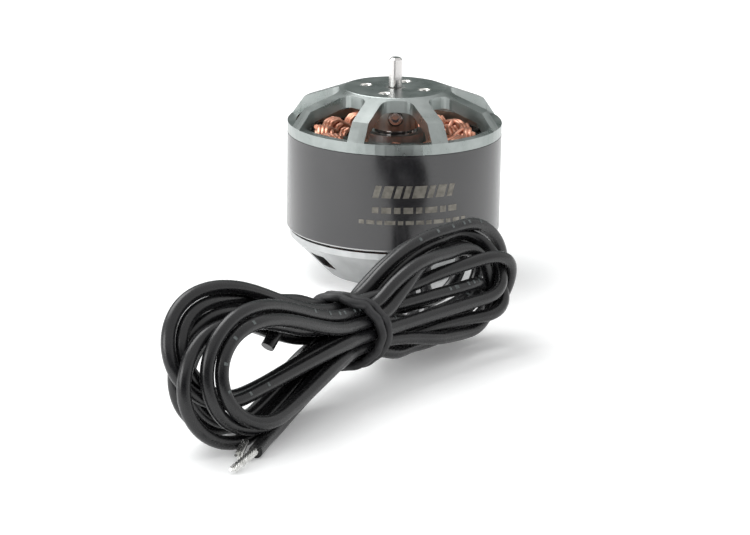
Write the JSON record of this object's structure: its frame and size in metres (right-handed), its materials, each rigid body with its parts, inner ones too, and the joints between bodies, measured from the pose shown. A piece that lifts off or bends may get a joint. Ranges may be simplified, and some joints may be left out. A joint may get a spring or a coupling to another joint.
{
  "type": "brushless outrunner motor",
  "caption": "Outrunner motor: black can with a spoked bell cap, propeller hub and stub shaft, conical base, and silicone leads wound into a tied hank.",
  "frame": {"origin": "centre of the base's flat mounting face, on the motor axis", "axes": "+Z along the shaft towards the propeller hub, -Y towards the side that the leads leave from"},
  "size_m": [0.0669, 0.1382, 0.0427],
  "materials": {
    "satin_aluminium": "satin anodised, turned and milled",
    "black_can": "glossy black oxide, ground bright at the lower edge",
    "ground_steel": "ground",
    "nickel_plate": "nickel plated",
    "lamination_steel": "stacked laminations with varnish",
    "insulating_board": "matt",
    "copper_wire": "enamelled copper wire",
    "bearing_balls": "polished",
    "black_rubber": "matt",
    "black_silicone": "satin",
    "tinned_copper": "tinned"
  },
  "bodies": {
    "stator": {"base": "satin_aluminium", "stator_core": "lamination_steel", "lower_insulator": "insulating_board", "upper_insulator": "insulating_board", "coil_01": "copper_wire", "coil_02": "copper_wire", "coil_03": "copper_wire", "coil_04": "copper_wire", "coil_05": "copper_wire", "coil_06": "copper_wire", "coil_07": "copper_wire", "coil_08": "copper_wire", "coil_09": "copper_wire", "coil_10": "copper_wire", "coil_11": "copper_wire", "coil_12": "copper_wire", "lower_bearing_outer_race": "ground_steel", "upper_bearing_outer_race": "ground_steel", "lead_grommet": "black_rubber", "lead_a": "black_silicone", "lead_b": "black_silicone", "lead_c": "black_silicone", "lead_hank": "black_silicone", "hank_tie": "black_rubber", "lead_a_end": "black_silicone", "lead_b_end": "black_silicone", "tinned_tip_a": "tinned_copper", "tinned_tip_b": "tinned_copper"},
    "rotor": {"bell_cap": "satin_aluminium", "set_screw_1": "ground_steel", "set_screw_2": "ground_steel", "flux_ring": "black_can", "magnet_01": "nickel_plate", "magnet_02": "nickel_plate", "magnet_03": "nickel_plate", "magnet_04": "nickel_plate", "magnet_05": "nickel_plate", "magnet_06": "nickel_plate", "magnet_07": "nickel_plate", "magnet_08": "nickel_plate", "magnet_09": "nickel_plate", "magnet_10": "nickel_plate", "magnet_11": "nickel_plate", "magnet_12": "nickel_plate", "magnet_13": "nickel_plate", "magnet_14": "nickel_plate", "shaft": "ground_steel", "shaft_clip": "ground_steel", "lower_shim": "ground_steel", "upper_shim": "ground_steel", "lower_bearing_inner_race": "ground_steel", "upper_bearing_inner_race": "ground_steel"},
    "lower_cage": {"lower_bearing_balls": "bearing_balls"},
    "upper_cage": {"upper_bearing_balls": "bearing_balls"}
  },
  "joints": [
    {"name": "rotor_spin", "type": "hinge", "parent": "stator", "child": "rotor", "pos_m": [0, 0, 0.0185], "axis": [0, 0, 1], "continuous": true},
    {"name": "lower_cage_spin", "type": "hinge", "parent": "stator", "child": "lower_cage", "pos_m": [0, 0, 0.0044], "axis": [0, 0, 1], "continuous": true},
    {"name": "upper_cage_spin", "type": "hinge", "parent": "stator", "child": "upper_cage", "pos_m": [0, 0, 0.02615], "axis": [0, 0, 1], "continuous": true}
  ],
  "couplings": [
    {"joint": "lower_cage_spin", "follows": "rotor_spin", "ratio": 0.405},
    {"joint": "upper_cage_spin", "follows": "rotor_spin", "ratio": 0.405}
  ]
}
